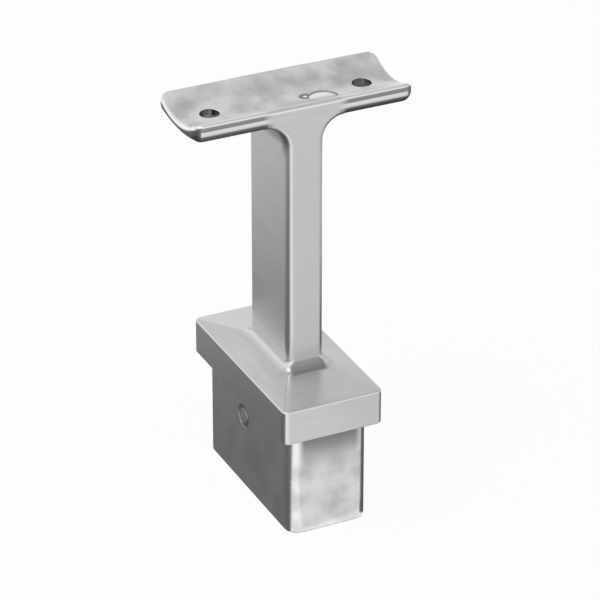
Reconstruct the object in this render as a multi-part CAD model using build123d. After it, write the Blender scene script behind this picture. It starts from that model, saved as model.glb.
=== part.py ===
from build123d import *
from math import radians, tan
import os

# Handrail bracket, one investment casting in stainless steel, in millimetres.
# It plugs into the top of a rectangular post and carries a round handrail on its saddle.
# The origin is the centre of the cap's underside, the shoulder that seats on the post's end.
# X runs along the handrail, Y along the wide side of the post, and Z is up.

# Handrail and saddle
rail_dia = 42.4  # outer diameter of the handrail tube that lies in the trough
rail_rise = 88.4  # from the cap's underside to the lowest line of the tube
saddle_len = 64.4  # length along the handrail
saddle_wall = 3.65  # plate under the tube's lowest line
under_r = 42.0  # arc of the underside, flatter than the tube's, so the plate thickens to its rims
saddle_corner_r = 3.0  # the four corners seen from above
rim_r = 1.0  # rounding of the trough's rim
plate_r = 3.0  # rounding of the saddle's lower outline

# Screw holes in the saddle
hole_dia = 5.5  # clearance for a 5 mm screw
hole_spacing = 45.0  # from hole to hole along the handrail
sink_dia = 9.6  # mouth of the countersink under the saddle, for a 9.2 mm screw head
sink_angle = 90.0  # full angle of the countersink

# Stem
stem_x = 11.0  # thickness along the handrail
stem_y = 25.0  # width, which is the saddle's width too
stem_r = 2.2  # upright edges, and the edges of the flare
flare_r = 6.0  # fillet where the stem spreads under the saddle
foot_r = 3.8  # fillet where the stem stands on the cap

# Cap
cap_x = 30.0  # flush with the post's narrow side
cap_y = 60.0  # flush with the post's wide side
cap_side = 10.2  # height of the upright sides
cap_corner_r = 2.0  # upright corners
cap_edge_r = 0.6  # upper rim of the sides
shoulder_edge = 0.3  # chamfer of the sides' lower rim
hip_rise = 2.0  # the hipped top rises by this from the rim to the stem
hip_r = 2.0  # rounding of the four hips

# Plug
plug_x = 24.0  # fits inside a 30 mm post with a 2 mm wall
plug_y = 54.8
plug_depth = 30.8
plug_corner_r = 4.0
plug_end_r = 0.6  # rounding of the lower end, outside
core_wall = 3.0  # wall left round the core
core_roof = 6.0  # metal left above the core, below the cap's rim
core_r = 1.5  # upright corners and roof of the core

# Foundry marks
ring_dia = 7.0  # plain sunk ring on the plug's side
ring_land = 4.2  # flat island inside the ring
ring_depth = 0.2
ring_y = 3.0
ring_drop = 8.3  # from the cap's underside down to the ring's centre
gate_dia = 8.0  # round ground spot of the casting gate, beside the middle of the trough
gate_depth = 0.3
gate_x = 9.5
gate_y = -3.2

trough_r = rail_dia / 2
under_z = rail_rise - saddle_wall  # lowest line of the saddle
touch = 0.01  # edges are told apart to this distance


def long_bar(radius, bottom_z):
    """A cylinder along X, longer than the saddle, with its lowest line at bottom_z."""
    bar = Cylinder(radius, saddle_len * 2, rotation=(0, -90, 0))
    return Pos(0, 0, bottom_z + radius) * bar


def lies_on(edge, radius, bottom_z):
    """True for an edge on the surface of such a cylinder."""
    centre_z = bottom_z + radius
    spots = [edge @ share for share in (0.1, 0.5, 0.9)]
    return all(abs(Vector(0, p.Y, p.Z - centre_z).length - radius) < touch for p in spots)


def plate():
    """The saddle under the tube, with square edges and not yet hollowed."""
    plan = RectangleRounded(saddle_len, stem_y, saddle_corner_r)
    block = extrude(Pos(0, 0, under_z) * plan, trough_r)
    return block & long_bar(under_r, under_z)


def stem():
    """The flat upright, from inside the cap up into the saddle."""
    foot_z = cap_side / 2
    return extrude(Pos(0, 0, foot_z) * Rectangle(stem_x, stem_y), rail_rise - foot_z)


def hollow_and_rim(body):
    """Cuts the tube's trough and rounds its rim."""
    body -= long_bar(trough_r, rail_rise)
    rim = [edge for edge in body.edges() if lies_on(edge, trough_r, rail_rise)]
    return fillet(rim, rim_r)


def saddle():
    """The saddle by itself, its lower outline rounded."""
    body = plate()
    lower = [edge for edge in body.edges() if lies_on(edge, under_r, under_z)]
    return hollow_and_rim(fillet(lower, plate_r))


def flared_stem():
    """The stem with its flare into the plate, flush with the plate front and back."""
    body = plate() + stem()
    roots = [
        edge
        for edge in body.edges().filter_by(GeomType.CIRCLE)
        if lies_on(edge, under_r, under_z) and abs((edge @ 0.5).X) < stem_x
    ]
    body = fillet(roots, flare_r)

    # The rounding of an upright edge runs on along the flare and round the plate.
    uprights = [edge for edge in body.edges().filter_by(Axis.Z) if abs((edge @ 0.5).X) < stem_x]
    return hollow_and_rim(fillet(uprights, stem_r))


def head():
    """The flared stem between the flare's ends, and the saddle beyond them."""
    flat_x = stem_x + 2 * flare_r
    middle = Box(flat_x, stem_y * 2, (rail_rise + trough_r) * 2)
    return (flared_stem() & middle) + (saddle() - middle)


def cap_section(width, stem_width):
    """The cap cut across one way: upright sides and a gable whose slopes run on inside the stem."""
    side = width / 2
    peak_z = cap_side + hip_rise * width / (width - stem_width)
    return Polygon((-side, 0), (side, 0), (side, cap_side), (0, peak_z), (-side, cap_side), align=None)


def cap():
    """The shouldered cap with its low hipped top, edges still sharp."""
    body = extrude(RectangleRounded(cap_x, cap_y, cap_corner_r), rail_rise)
    body &= extrude(Plane.XZ * cap_section(cap_x, stem_x), cap_y, both=True)
    return body & extrude(Plane.YZ * cap_section(cap_y, stem_y), cap_x, both=True)


def soften_cap(body):
    """Rounds the four hips and then the cap's upper rim, on the cap and head together."""
    hips = []
    for edge in body.edges().filter_by(GeomType.LINE):
        way = edge.position_at(1) - edge.position_at(0)
        if abs(way.X) > touch and abs(way.Y) > touch and abs(way.Z) > touch:
            hips.append(edge)
    body = fillet(hips, hip_r)
    rim_top = cap_side + hip_rise / 4
    return fillet(body.edges().filter_by_position(Axis.Z, cap_side - touch, rim_top), cap_edge_r)


def plug():
    """The spigot that goes into the post, not yet cored."""
    body = extrude(RectangleRounded(plug_x, plug_y, plug_corner_r), -plug_depth)
    return fillet(body.faces().sort_by(Axis.Z)[0].edges(), plug_end_r)


def core():
    """The hollow inside the plug, open below and run up into the cap."""
    mouth = RectangleRounded(plug_x - 2 * core_wall, plug_y - 2 * core_wall, core_r)
    body = extrude(Pos(0, 0, -plug_depth) * mouth, plug_depth + cap_side - core_roof)
    return fillet(body.faces().sort_by(Axis.Z)[-1].edges(), core_r)


def screw_holes():
    """Two clearance holes through the saddle, countersunk from below."""
    sink_depth = sink_dia / 2 / tan(radians(sink_angle / 2))
    hole = extrude(Pos(0, 0, under_z - sink_depth) * Circle(hole_dia / 2), trough_r)
    sink = Pos(0, 0, under_z + sink_depth / 2) * Cone(sink_dia / 2, 0, sink_depth)
    return [Pos(x, 0, 0) * (hole + sink) for x in (-hole_spacing / 2, hole_spacing / 2)]


def ring_mark():
    """A plain round foundry mark sunk in the plug's left side."""
    face = Plane(origin=(-plug_x / 2, ring_y, -ring_drop), x_dir=(0, -1, 0), z_dir=(-1, 0, 0))
    return extrude(face * (Circle(ring_dia / 2) - Circle(ring_land / 2)), -ring_depth)


def gate_mark():
    """The ground spot of the casting gate in the trough."""
    outline = Pos(gate_x, gate_y, rail_rise - gate_depth * 2) * Circle(gate_dia / 2)
    return extrude(outline, trough_r) & long_bar(trough_r + gate_depth, rail_rise - gate_depth)


def bracket():
    """The whole casting."""
    body = soften_cap(head() + cap())
    foot = [
        edge
        for edge in body.edges()
        if cap_side < (edge @ 0.5).Z < cap_side + hip_rise * 2
        and abs((edge @ 0.5).X) <= stem_x / 2 + touch
        and abs((edge @ 0.5).Y) <= stem_y / 2 + touch
    ]
    body = fillet(foot, foot_r)
    body = chamfer(body.faces().sort_by(Axis.Z)[0].edges(), shoulder_edge)
    body += plug()
    for hollow in (core(), ring_mark(), gate_mark(), *screw_holes()):
        body -= hollow
    return body


handrail_bracket = bracket()
handrail_bracket.label = "handrail_bracket"
os.makedirs("parts", exist_ok=True)
export_step(handrail_bracket, "parts/handrail_bracket.step")
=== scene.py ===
from math import cos, hypot, radians, sin

import bmesh
import bpy
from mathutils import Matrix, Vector

# Handrail bracket, one casting in stainless steel. Its faces are finished one by one, by place and direction.

MM = 0.001

# Sizes in millimetres, from the centre of the cap's underside. X runs along the handrail, and Z is up.
RAIL_R = 21.2  # radius of the trough
RAIL_RISE = 88.4  # lowest line of the trough
SADDLE_X = 64.4
RIM_R = 1.0  # rounding of the trough's rim
STEM_X = 11.0
STEM_Y = 25.0  # the saddle's width too
CAP_SIDE = 10.2  # height of the cap's upright sides
PLUG_X = 24.0
PLUG_Y = 54.8
PLUG_DEPTH = 30.8
PLUG_CORNER_R = 4.0
HOLE_X = 22.5  # from the middle to a screw hole
HOLE_R = 2.75
RING_DEPTH = 0.2  # the sunk ring on the plug's left side
GATE_DEPTH = 0.3  # the ground gate spot in the trough
PIP_HIGHLIGHT_PLACE = (5.0 * MM, -1.2 * MM, RAIL_RISE * MM)  # place of a painted highlight dot, with a ring of painted shade round it, beside the gate spot

TOUCH = 0.01  # places are told apart to this distance
FACET_SAG = 0.03  # how far a facet's centre may lie from the curve that it follows
SLOPE_UP = (0.97, 0.998)  # upward part of the normals of the cap's four top planes, with room on both sides

# The surroundings. A level of 1 is white.
FLOOR_LEVEL = 0.93
CEILING_LEVEL = 0.55
CARD_HEIGHT = 0.2  # the cards lie this far above the floor, in millimetres


def colour(text):
    """An sRGB hex colour as linear values with alpha."""
    channels = [int(text[i : i + 2], 16) / 255 for i in (1, 3, 5)]
    linear = [c / 12.92 if c <= 0.04045 else ((c + 0.055) / 1.055) ** 2.4 for c in channels]
    return (*linear, 1.0)


WHITE = colour("#FFFFFF")
SATIN = colour("#E2E2E1")  # steel as brushed or polished
HIGHLIGHT_PAINT = colour("#F8F8F6")  # painted highlight on the saddle's rims and lips
SHADE_PAINT = colour("#9A9A99")  # painted shade
DARKEST_SHADE_PAINT = colour("#747473")  # painted shade where it is darkest


def add(tree, kind, inputs=None, **settings):
    """Adds a node with its settings. An input gets a value, an output, or a node's first output in use."""
    node = tree.nodes.new(kind)
    for name, value in settings.items():
        setattr(node, name, value)
    for key, value in (inputs or {}).items():
        if isinstance(value, bpy.types.Node):
            value = next(socket for socket in value.outputs if socket.enabled)
        if isinstance(value, bpy.types.NodeSocket):
            tree.links.new(value, node.inputs[key])
        else:
            node.inputs[key].default_value = value
    return node


def places(tree):
    """A point's place on the bracket, and how far it lies from the middle along X and Y, and up."""
    position = add(tree, "ShaderNodeTexCoord").outputs["Object"]
    axes = add(tree, "ShaderNodeSeparateXYZ", {"Vector": position}).outputs
    x = add(tree, "ShaderNodeMath", {0: axes["X"]}, operation="ABSOLUTE")
    y = add(tree, "ShaderNodeMath", {0: axes["Y"]}, operation="ABSOLUTE")
    return position, x, y, axes["Z"]


def band(tree, value, start, full, last=None, end=None, unit=MM):
    """A share that rises from 0 at start to 1 at full and, with an end given, falls from last to end.

    The places are in millimetres, or in the unit given. A rise from -1 to 0 starts in the middle itself.
    """
    span = {"Value": value, "From Min": start * unit, "From Max": full * unit}
    rise = add(tree, "ShaderNodeMapRange", span, interpolation_type="SMOOTHSTEP")
    if end is None:
        return rise
    span = {"Value": value, "From Min": last * unit, "From Max": end * unit, "To Min": 1.0, "To Max": 0.0}
    fall = add(tree, "ShaderNodeMapRange", span, interpolation_type="SMOOTHSTEP")
    return add(tree, "ShaderNodeMath", {0: rise, 1: fall}, operation="MULTIPLY")


def combine(tree, operation, *shares):
    """Joins shares, by MULTIPLY where all of them have to meet and by MAXIMUM where one is enough."""
    result = shares[0]
    for share in shares[1:]:
        result = add(tree, "ShaderNodeMath", {0: result, 1: share}, operation=operation)
    return result


def new_material(name):
    """An empty material and its node tree."""
    material = bpy.data.materials.new(name)
    material.use_nodes = True
    material.node_tree.nodes.clear()
    return material, material.node_tree


def tone_with_painted_light(tree, satin):
    """A satin tone with a painted highlight and painted shade, and the share of painted shade.

    The saddle's rims and lips carry a painted highlight beyond the flare. Painted shade lies round the stem's
    root, inside the flare and along the lips, and is darkest under the lips and on the saddle's ends below
    the rim.
    """
    position, x, y, z = places(tree)
    side, edge = STEM_X / 2, STEM_Y / 2

    # Painted shade round the stem's root, in front of it and beside it.
    low = band(tree, z, -5, 0, CAP_SIDE + 5.3, CAP_SIDE + 10.3)
    in_front = band(tree, y, edge - 0.1, edge + 0.2, edge + 2, edge + 3.2)
    narrow_root = combine(tree, "MULTIPLY", low, in_front, band(tree, x, -1, 0, side - 0.9, side + 0.3))
    beside = band(tree, x, side, side + 1.2, side + 2.2, side + 3.4)
    wide_root = combine(tree, "MULTIPLY", low, beside, band(tree, y, -1, 0, edge, edge + 2), 0.25)

    # Painted shade inside the flare.
    high = band(tree, z, RAIL_RISE - 13.4, RAIL_RISE - 7.4, RAIL_RISE - 2.4, RAIL_RISE + 3.6)
    outward = band(tree, x, side - 1.5, side - 0.5, side + 8, side + 9)
    near_edge = band(tree, y, edge - 5, edge - 2, edge - 0.8, edge - 0.3)
    flare = combine(tree, "MULTIPLY", high, outward, near_edge)

    beyond = band(tree, x, side + 3.5, side + 7.5)
    # Painted shade along the lips below the rim, and darker painted shade under the lips.
    lip = combine(tree, "MULTIPLY", beyond, band(tree, y, edge - 1.6, edge - 0.8))
    below_rim = band(tree, z, RAIL_RISE + 1.15, RAIL_RISE + 1.5, RAIL_RISE + 2.4, RAIL_RISE + 2.75)
    lip_line = combine(tree, "MULTIPLY", lip, below_rim)
    lowest = band(tree, z, RAIL_RISE - 9.3, RAIL_RISE - 8.4, RAIL_RISE - 0.5, RAIL_RISE + 0.4)
    under_lip = combine(tree, "MULTIPLY", lip, lowest)

    # How far a point lies below the trough is told by its distance from the handrail's centre line.
    section = add(tree, "ShaderNodeVectorMath", {0: position, 1: (0, 1, 1)}, operation="MULTIPLY")
    centre = (0, 0, (RAIL_RISE + RAIL_R) * MM)
    from_centre = add(tree, "ShaderNodeVectorMath", {0: section, 1: centre}, operation="DISTANCE")
    deep = band(tree, from_centre, RAIL_R + RIM_R - 0.2, RAIL_R + RIM_R + 0.3)
    end = combine(tree, "MULTIPLY", deep, band(tree, x, SADDLE_X / 2 - 2.2, SADDLE_X / 2 - 1.4))

    # A painted highlight on the rims and lips beyond the flare, and the darkest painted shade under the lips
    # and on the saddle's ends.
    painted_highlight = combine(tree, "MULTIPLY", beyond, band(tree, z, RAIL_RISE - 2.4, RAIL_RISE - 0.4))
    darkest_painted_shade = combine(tree, "MAXIMUM", under_lip, end)
    painted_shade = combine(tree, "MAXIMUM", darkest_painted_shade, narrow_root, wide_root, flare, lip_line)
    tone = satin
    for share, level in ((painted_highlight, HIGHLIGHT_PAINT), (painted_shade, SHADE_PAINT), (darkest_painted_shade, DARKEST_SHADE_PAINT)):
        tone = add(tree, "ShaderNodeMix", {"Factor": share, "A": tone, "B": level}, data_type="RGBA")
    return tone, painted_shade


def brushed():
    """Flat faces of cast stainless steel, satin brushed, with fine lines level round the bracket.

    The lines spread a reflection up and down. Real ones are about 0.05 mm wide, too fine to show, and
    these are drawn seven times as coarse.
    """
    material, tree = new_material("satin_brushed_stainless")
    line_length, line_width = 14.0, 0.35
    position = add(tree, "ShaderNodeTexCoord").outputs["Object"]
    per_size = [1 / (size * MM) for size in (line_length, line_length, line_width)]
    spot = add(tree, "ShaderNodeVectorMath", {0: position, 1: per_size}, operation="MULTIPLY")
    lines = add(tree, "ShaderNodeTexNoise", {"Vector": spot, "Scale": 1.0, "Detail": 2.0, "Roughness": 0.6})
    share = band(tree, lines, 0.3, 0.7, unit=1)
    mix = {"Factor": share, "A": colour("#DBDBDA"), "B": SATIN}
    # The tone gets the painted highlight and painted shade.
    tone, _ = tone_with_painted_light(tree, add(tree, "ShaderNodeMix", mix, data_type="RGBA"))
    rough = add(tree, "ShaderNodeMath", {0: share, 1: 0.04, 2: 0.28}, operation="MULTIPLY_ADD")
    look = {
        "Base Color": tone,
        "Metallic": 1.0,
        "Roughness": rough,
        "Anisotropic": 0.75,
        "Anisotropic Rotation": 0.25,
        "Tangent": add(tree, "ShaderNodeTangent", direction_type="RADIAL", axis="Z"),
        "Normal": add(tree, "ShaderNodeBump", {"Height": lines, "Strength": 0.3, "Distance": 0.005 * MM}),
    }
    steel = add(tree, "ShaderNodeBsdfPrincipled", look)
    add(tree, "ShaderNodeOutputMaterial", {"Surface": steel})
    return material


def polished():
    """Roundings of the steel, polished without lines, so that they carry smooth highlights."""
    material, tree = new_material("polished_stainless")
    # The tone gets the painted highlight and painted shade, and the roughness rises with the painted shade.
    tone, painted_shade = tone_with_painted_light(tree, SATIN)
    rough = add(tree, "ShaderNodeMath", {0: painted_shade, 1: 0.15, 2: 0.3}, operation="MULTIPLY_ADD")
    look = {"Base Color": tone, "Metallic": 1.0, "Roughness": rough}
    steel = add(tree, "ShaderNodeBsdfPrincipled", look)
    add(tree, "ShaderNodeOutputMaterial", {"Surface": steel})
    return material


def as_cast():
    """Stainless steel as cast and blasted, cloudy and finely grained.

    The plug is smoother than the trough, most of all at its corners. It has painted shade under the cap and
    at its end, and a painted highlight dot with a ring of painted shade beside the gate spot. Real blasting
    leaves a grain of about 0.1 mm, and this one is drawn five times as coarse.
    """
    material, tree = new_material("blasted_cast_stainless")
    cloud_size, grain_size = 9.0, 0.5
    position, x, y, z = places(tree)
    large = {"Vector": position, "Scale": 1 / (cloud_size * MM), "Detail": 4.0, "Roughness": 0.5}
    cloud = add(tree, "ShaderNodeTexNoise", large)
    fine = {"Vector": position, "Scale": 1 / (grain_size * MM), "Detail": 3.0, "Roughness": 0.6}
    grain = add(tree, "ShaderNodeTexNoise", fine)

    half_x, half_y, bottom = PLUG_X / 2, PLUG_Y / 2, -PLUG_DEPTH
    on_plug = band(tree, z, bottom - 2, bottom - 1, -1, 0)
    wide_side = combine(tree, "MULTIPLY", on_plug, band(tree, x, half_x - 0.8, half_x - 0.2), 0.6)
    narrow_side = band(tree, y, half_y - 1.9, half_y - 0.1)
    middle = band(tree, x, -1, 0, half_x - 4.5, half_x - 2.5)
    # Painted shade under the cap's overhang and along the plug's lower end.
    under_cap = combine(tree, "MULTIPLY", band(tree, z, -13, 0, 0, 1), narrow_side, middle)
    low_end = band(tree, z, bottom - 2, bottom - 1, bottom + 0.1, bottom + 0.9)
    low_end = combine(tree, "MULTIPLY", low_end, 0.7)
    painted_shade = combine(tree, "MAXIMUM", under_cap, low_end)
    # A painted highlight dot, with a ring of painted shade round it, beside the gate spot.
    from_pip_highlight = add(tree, "ShaderNodeVectorMath", {0: position, 1: PIP_HIGHLIGHT_PLACE}, operation="DISTANCE")
    pip_shade_ring = band(tree, from_pip_highlight, -1, 0, 1.0, 2.3)
    pip_highlight = band(tree, from_pip_highlight, -1, 0, 0.3, 1.0)

    cloudy = band(tree, cloud, 0.3, 0.66, unit=1)
    tone = colour("#D2D2D1")
    # Over the cloudy tone lie painted shade and a painted highlight dot with its ring of painted shade.
    levels = (
        (cloudy, colour("#F5F5F3")),
        (wide_side, colour("#E6E6E4")),
        (painted_shade, colour("#8C8C8B")),
        (pip_shade_ring, colour("#7E7E7D")),
        (pip_highlight, WHITE),
    )
    for share, level in levels:
        tone = add(tree, "ShaderNodeMix", {"Factor": share, "A": tone, "B": level}, data_type="RGBA")

    corner_x = band(tree, x, half_x - 4.5, half_x - 2.5)
    corner_y = band(tree, y, half_y - PLUG_CORNER_R - 0.4, half_y - PLUG_CORNER_R + 1.6)
    corner = combine(tree, "MULTIPLY", corner_x, corner_y)
    grainy = band(tree, grain, 0.3, 0.7, unit=1)
    in_trough = band(tree, z, 0, 1)
    rough = 0.37
    for share, change in ((grainy, 0.04), (in_trough, 0.2), (corner, -0.1), (pip_highlight, -0.3)):
        rough = add(tree, "ShaderNodeMath", {0: share, 1: change, 2: rough}, operation="MULTIPLY_ADD")

    bump = add(tree, "ShaderNodeBump", {"Height": grain, "Strength": 0.1, "Distance": 0.02 * MM})
    look = {"Base Color": tone, "Metallic": 1.0, "Roughness": rough, "Normal": bump}
    steel = add(tree, "ShaderNodeBsdfPrincipled", look)
    add(tree, "ShaderNodeOutputMaterial", {"Surface": steel})
    return material


def ground():
    """The gate spot, ground off by hand and bright, with short strokes as a coarse wheel leaves them."""
    material, tree = new_material("ground_stainless")
    stroke_width, stroke_length = 0.25, 3.0
    position = add(tree, "ShaderNodeTexCoord").outputs["Object"]
    per_size = [1 / (size * MM) for size in (stroke_width, stroke_length, stroke_length)]
    spot = add(tree, "ShaderNodeVectorMath", {0: position, 1: per_size}, operation="MULTIPLY")
    strokes = add(tree, "ShaderNodeTexNoise", {"Vector": spot, "Scale": 1.0, "Detail": 2.0, "Roughness": 0.5})
    mix = {"Factor": strokes, "A": colour("#EAEAE8"), "B": colour("#FAFAF8")}
    tone = add(tree, "ShaderNodeMix", mix, data_type="RGBA")
    bump = add(tree, "ShaderNodeBump", {"Height": strokes, "Strength": 0.5, "Distance": 0.05 * MM})
    look = {"Base Color": tone, "Metallic": 1.0, "Roughness": 0.18, "Normal": bump}
    steel = add(tree, "ShaderNodeBsdfPrincipled", look)
    add(tree, "ShaderNodeOutputMaterial", {"Surface": steel})
    return material


def plain_steel(name, tone, rough):
    """Stainless steel of one even tone."""
    material, tree = new_material(name)
    look = {"Base Color": colour(tone), "Metallic": 1.0, "Roughness": rough}
    steel = add(tree, "ShaderNodeBsdfPrincipled", look)
    add(tree, "ShaderNodeOutputMaterial", {"Surface": steel})
    return material


def drilled_painted_shade():
    """The screw holes' walls, drilled smooth, with painted shade: a dark grey for the shade inside the holes.
    """
    return plain_steel("drilled_stainless_painted_shade", "#6A6A69", 0.12)


def darker_grey_steel():
    """An even grey, darker than the blasted steel, in the sunk ring and round the gate spot."""
    return plain_steel("darker_grey_stainless", "#ACACAB", 0.4)


def finish_of(face):
    """Which finish a face has, told by where its centre lies, in millimetres, and by which way it looks."""
    x, y, z = face.center / MM
    if z < -TOUCH:
        ring_floor = abs(x + PLUG_X / 2 - RING_DEPTH) < TOUCH and z > -PLUG_DEPTH / 2
        return "darker_grey" if ring_floor else "cast"
    if hypot(abs(x) - HOLE_X, y) < HOLE_R + TOUCH:
        return "drilled_painted_shade"
    sunk = hypot(y, z - RAIL_RISE - RAIL_R) - RAIL_R
    if abs(sunk) < FACET_SAG:
        return "cast"
    inside_rims = abs(x) < HOLE_X and abs(y) < STEM_Y / 2 - 2 * RIM_R
    if inside_rims and FACET_SAG < sunk < GATE_DEPTH + FACET_SAG:
        return "ground" if sunk > GATE_DEPTH - FACET_SAG else "darker_grey"
    upright = max(abs(face.normal.x), abs(face.normal.y)) > 0.9999
    slope = SLOPE_UP[0] < face.normal.z < SLOPE_UP[1] and z < RAIL_RISE / 2
    return "brushed" if upright or slope else "polished"


def pale_floor():
    """Matt white floor. Seen directly or in the steel it is nearly white, and it keeps its shadows."""
    material, tree = new_material("matt_white_paint")
    path = add(tree, "ShaderNodeLightPath").outputs
    seen = combine(tree, "MAXIMUM", path["Is Camera Ray"], path["Is Glossy Ray"], path["Is Transmission Ray"])
    share = combine(tree, "MULTIPLY", seen, FLOOR_LEVEL)
    paint = add(tree, "ShaderNodeBsdfDiffuse", {"Color": colour("#F8F8F8")})
    glow = add(tree, "ShaderNodeEmission", {"Color": WHITE, "Strength": 1.0})
    mixed = add(tree, "ShaderNodeMixShader", {0: share, 1: paint, 2: glow})
    add(tree, "ShaderNodeOutputMaterial", {"Surface": mixed})
    return material


def card_paint(near, far):
    """Grey card that goes from one level to another towards the back of the floor."""
    material, tree = new_material("grey_card")
    position = add(tree, "ShaderNodeTexCoord").outputs["Object"]
    back_left = (-0.35, 0.94, 0)
    away = add(tree, "ShaderNodeVectorMath", {0: position, 1: back_left}, operation="DOT_PRODUCT")
    change = {"Value": away, "From Min": 40 * MM, "From Max": 260 * MM, "To Min": near, "To Max": far}
    level = add(tree, "ShaderNodeMapRange", change, interpolation_type="SMOOTHSTEP")
    grey = add(tree, "ShaderNodeEmission", {"Color": WHITE, "Strength": level})
    add(tree, "ShaderNodeOutputMaterial", {"Surface": grey})
    return material


def sheet(name, corners, height):
    """A flat level sheet with these corners, all in millimetres."""
    mesh = bpy.data.meshes.new(name)
    shape = bmesh.new()
    shape.faces.new([shape.verts.new((x * MM, y * MM, height * MM)) for x, y in corners])
    shape.to_mesh(mesh)
    shape.free()
    obj = bpy.data.objects.new(name, mesh)
    bpy.context.scene.collection.objects.link(obj)
    return obj


def card(name, corners, near, far):
    """A grey card on the floor that only shows in the steel, as a photographer's flag does."""
    obj = sheet(name, corners, CARD_HEIGHT - PLUG_DEPTH)
    obj.data.materials.append(card_paint(near, far))
    obj.visible_camera = False
    obj.visible_diffuse = False
    obj.visible_transmission = False
    obj.visible_shadow = False


def softbox(name, place, target, size, power):
    """A large soft lamp that looks at target. Its place, target and size are in metres."""
    lamp = bpy.data.lights.new(name, "AREA")
    lamp.shape = "RECTANGLE"
    lamp.size, lamp.size_y = size
    lamp.energy = power
    obj = bpy.data.objects.new(name, lamp)
    obj.location = place
    obj.rotation_mode = "QUATERNION"
    obj.rotation_quaternion = (Vector(target) - Vector(place)).to_track_quat("-Z", "Y")
    bpy.context.scene.collection.objects.link(obj)


def world_light():
    """White round the horizon, going to a grey ceiling, darker towards the right and lighter in front."""
    world = bpy.data.worlds.new("studio")
    world.use_nodes = True
    bpy.context.scene.world = world
    tree = world.node_tree
    tree.nodes.clear()
    direction = add(tree, "ShaderNodeTexCoord").outputs["Generated"]
    way = add(tree, "ShaderNodeSeparateXYZ", {"Vector": direction}).outputs

    # Along each axis of the direction, the level is multiplied by one share going over to another.
    changes = (("Z", 0.1, 1.0, 1.0, CEILING_LEVEL), ("X", 0.42, 0.54, 1.0, 0.72), ("Y", -0.6, 0.0, 1.15, 1.0))
    level = 1.0
    for axis, low, high, at_low, at_high in changes:
        change = {"Value": way[axis], "From Min": low, "From Max": high, "To Min": at_low, "To Max": at_high}
        share = add(tree, "ShaderNodeMapRange", change, interpolation_type="SMOOTHSTEP")
        level = add(tree, "ShaderNodeMath", {0: level, 1: share}, operation="MULTIPLY")
    light = add(tree, "ShaderNodeBackground", {"Color": WHITE, "Strength": level})
    add(tree, "ShaderNodeOutputWorld", {"Surface": light})


def camera(yaw, pitch, distance, across, up, lens):
    """Looks down on the bracket from the left front, as the photograph does.

    The angles are in degrees. The distance and the steps across and up are in millimetres.
    """
    a, e = radians(yaw), radians(pitch)
    back = Vector((-sin(a) * cos(e), -cos(a) * cos(e), sin(e)))
    right = Vector((cos(a), -sin(a), 0))
    data = bpy.data.cameras.new("camera")
    data.lens = lens
    data.clip_start, data.clip_end = 0.05, 50
    obj = bpy.data.objects.new("camera", data)
    obj.location = (back * distance + right * across + back.cross(right) * up) * MM
    obj.rotation_euler = (radians(90 - pitch), 0, -a)
    bpy.context.scene.collection.objects.link(obj)
    bpy.context.scene.camera = obj


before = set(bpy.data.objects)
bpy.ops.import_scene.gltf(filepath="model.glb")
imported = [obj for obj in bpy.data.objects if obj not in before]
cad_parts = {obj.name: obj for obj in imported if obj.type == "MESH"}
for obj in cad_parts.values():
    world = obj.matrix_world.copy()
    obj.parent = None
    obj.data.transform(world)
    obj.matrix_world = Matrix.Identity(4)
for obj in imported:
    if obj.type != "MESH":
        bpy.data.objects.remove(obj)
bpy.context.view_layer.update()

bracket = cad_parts["handrail_bracket"]
bracket.data.materials.clear()
finishes = {
    "brushed": brushed(),
    "polished": polished(),
    "cast": as_cast(),
    "ground": ground(),
    "drilled_painted_shade": drilled_painted_shade(),
    "darker_grey": darker_grey_steel(),
}
for finish in finishes.values():
    bracket.data.materials.append(finish)
order = list(finishes)
for face in bracket.data.polygons:
    face.material_index = order.index(finish_of(face))

reach = 3000
floor = sheet("floor", [(-reach, -reach), (reach, -reach), (reach, reach), (-reach, reach)], -PLUG_DEPTH)
floor.data.materials.append(pale_floor())

world_light()
softbox("key", place=(-0.54, -0.13, 0.85), target=(0, 0, 0.03), size=(0.5, 0.5), power=1.6)

# The left card greys the stem's and plug's left sides, and the right ones darken the edges on the right.
left = [(12, -5), (12, 380), (-350, 380), (-350, -300), (-35, -32), (-12, -26)]
card("left_card", left, near=0.125, far=0.56)
card("right_card", [(12.2, -29), (130, -60), (130, 380), (12.2, 380)], near=0.09, far=0.09)
card("far_right_card", [(131, -110), (340, -110), (340, 380), (131, 380)], near=0.5, far=0.5)

# The cards in front take the plug's and stem's front faces down from white.
card("near_card", [(-6, -29), (22, -33), (22, -62), (-16, -62)], near=0.7, far=0.7)
card("middle_card", [(-16, -63), (22, -63), (32, -105), (-28, -105)], near=0.8, far=0.8)
front = [(-28, -106), (32, -106), (23, -63), (26, -37), (370, -116), (370, -460), (-120, -460)]
card("front_card", front, near=0.67, far=0.67)

camera(yaw=25.5, pitch=28.4, distance=1000, across=3.66, up=23.86, lens=215)

scene = bpy.context.scene
scene.view_settings.view_transform = "Standard"
